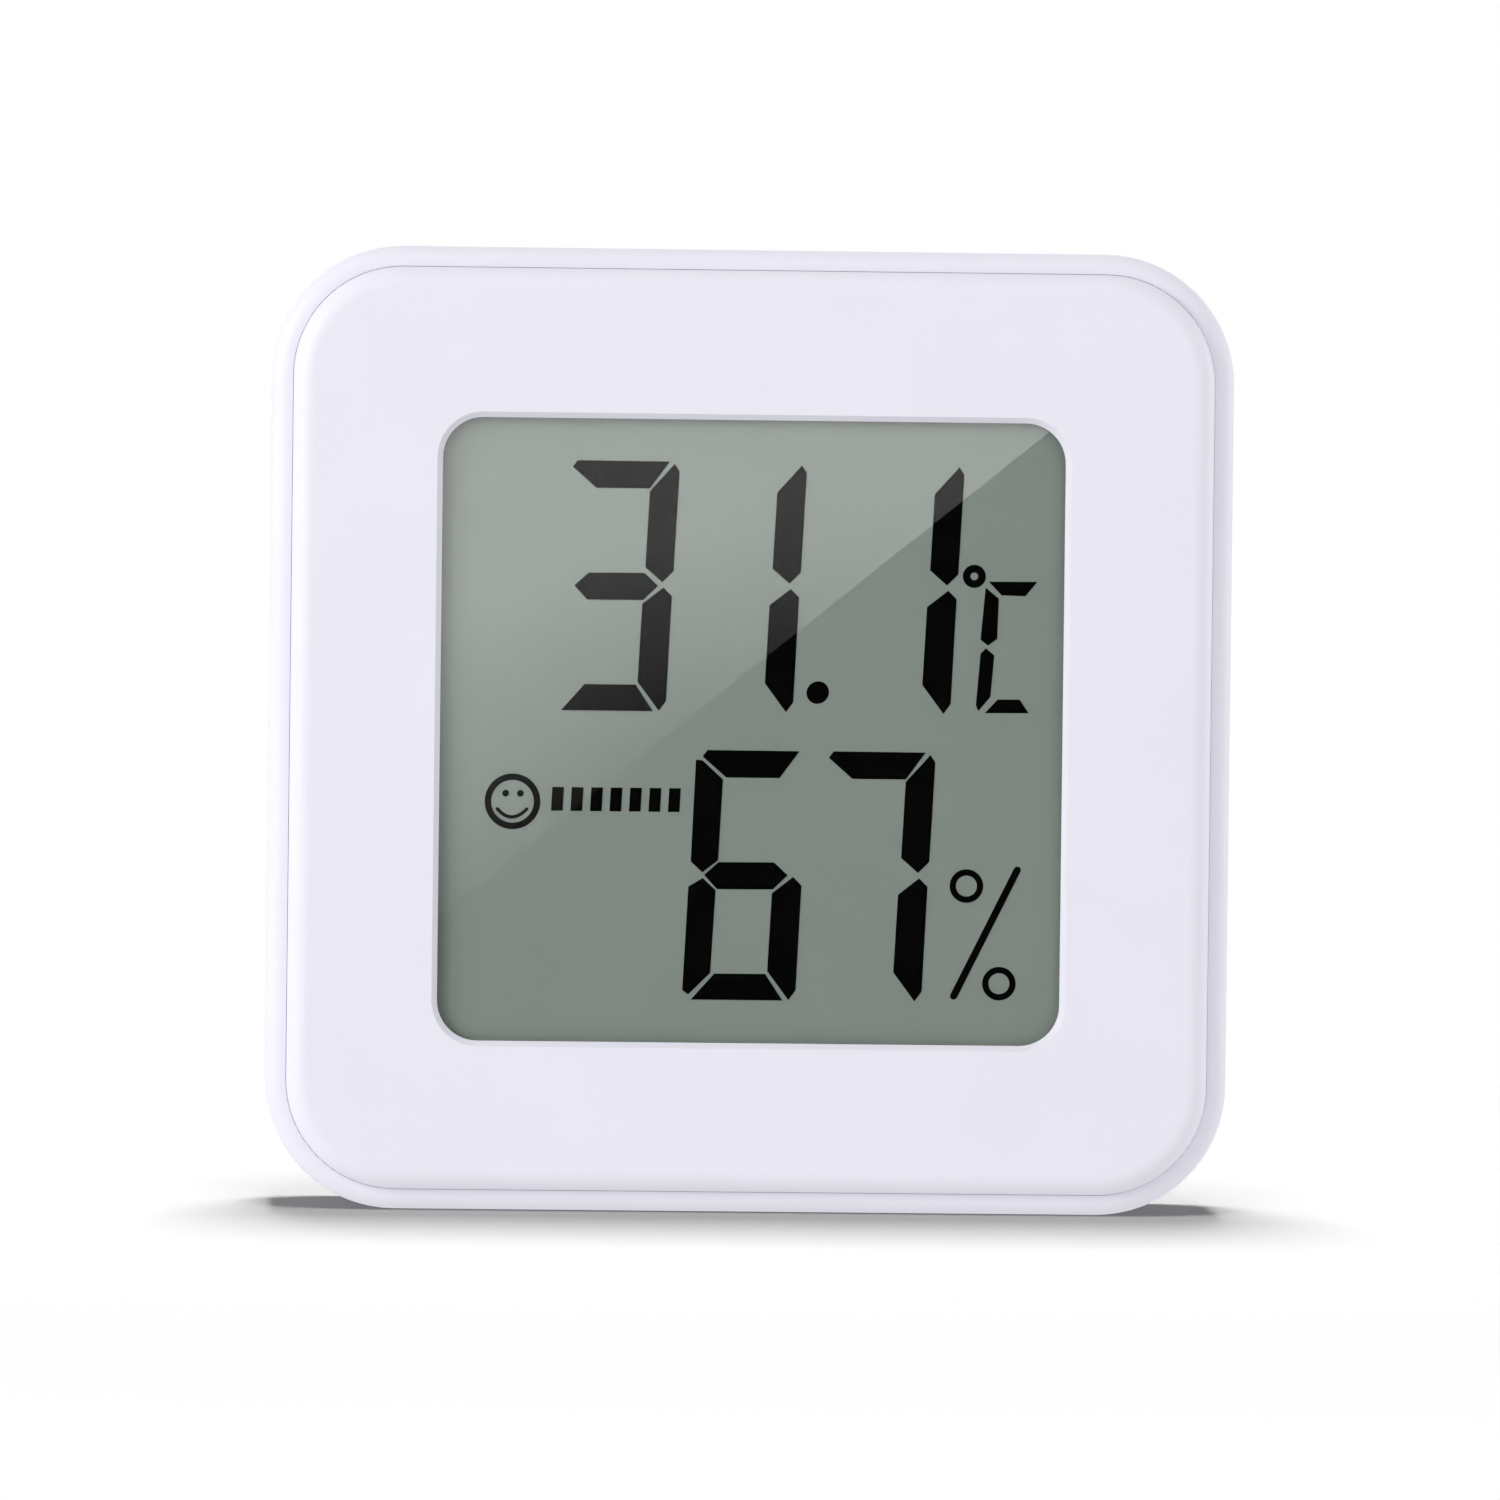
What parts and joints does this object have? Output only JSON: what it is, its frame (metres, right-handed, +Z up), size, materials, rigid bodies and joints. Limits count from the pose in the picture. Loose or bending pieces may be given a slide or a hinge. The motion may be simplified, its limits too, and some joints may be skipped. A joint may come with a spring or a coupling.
{
  "type": "temperature humidity sensor",
  "caption": "Small square white thermometer and hygrometer with a segment display, coin-turn battery door, fold-out stand, unit button, vents and hanging hole.",
  "frame": {"origin": "middle of the flat bottom edge, at half the depth of the case", "axes": "+Z up, the display faces -Y, +X is to the right of the display"},
  "size_m": [0.043, 0.012, 0.043],
  "materials": {
    "case_plastic": "fine satin moulding texture",
    "button_plastic": "fine satin moulding texture",
    "clear_window": "polished clear",
    "adhesive": "matte",
    "foam": "matte foam",
    "display_film": "smooth film, grey-green",
    "display_glass": "polished",
    "reflector_film": "fine matte",
    "inner_plastic": "matte",
    "strip_rubber": "matte",
    "board_laminate": "satin solder mask",
    "black_epoxy": "slightly glossy",
    "sensor_ceramic": "fired matte",
    "plated_steel": "nickel plated",
    "cell_steel": "polished stainless",
    "screw_steel": "zinc plated"
  },
  "bodies": {
    "case": {"front_shell": "case_plastic", "rear_shell": "case_plastic", "display_window": "clear_window", "window_adhesive": "adhesive", "display_gasket": "foam", "lcd_front_polariser": "display_film", "lcd_front_glass": "display_glass", "lcd_rear_glass": "display_glass", "lcd_reflector": "reflector_film", "lcd_carrier": "inner_plastic", "connector_strip_upper": "strip_rubber", "connector_strip_lower": "strip_rubber", "circuit_board": "board_laminate", "controller_cap": "black_epoxy", "humidity_sensor": "sensor_ceramic", "thermistor": "black_epoxy", "timing_crystal": "plated_steel", "chip_passives": "sensor_ceramic", "unit_switch": "plated_steel", "negative_contact": "plated_steel", "positive_contact": "plated_steel", "button_cell": "cell_steel", "board_screws": "screw_steel"},
    "battery_door": {"battery_door": "case_plastic"},
    "kickstand": {"kickstand": "case_plastic"},
    "unit_button": {"unit_button": "button_plastic"},
    "switch_plunger": {"switch_plunger": "inner_plastic"}
  },
  "joints": [
    {"name": "door_turn", "type": "hinge", "parent": "case", "child": "battery_door", "pos_m": [0, 0.0055, 0.0264], "axis": [0, 1, 0], "range_deg": [0, 45]},
    {"name": "stand_swing", "type": "hinge", "parent": "case", "child": "kickstand", "pos_m": [0, 0.00515, 0.0169], "axis": [1, 0, 0], "range_deg": [0, 40]},
    {"name": "button_push", "type": "slide", "parent": "case", "child": "unit_button", "axis": [0, -1, 0], "range_m": [0, 0.0003], "stiffness_N_per_m": 5000},
    {"name": "plunger_push", "type": "slide", "parent": "case", "child": "switch_plunger", "axis": [0, -1, 0], "range_m": [0, 0.0003]}
  ],
  "couplings": [
    {"joint": "plunger_push", "follows": "button_push", "ratio": 1}
  ]
}
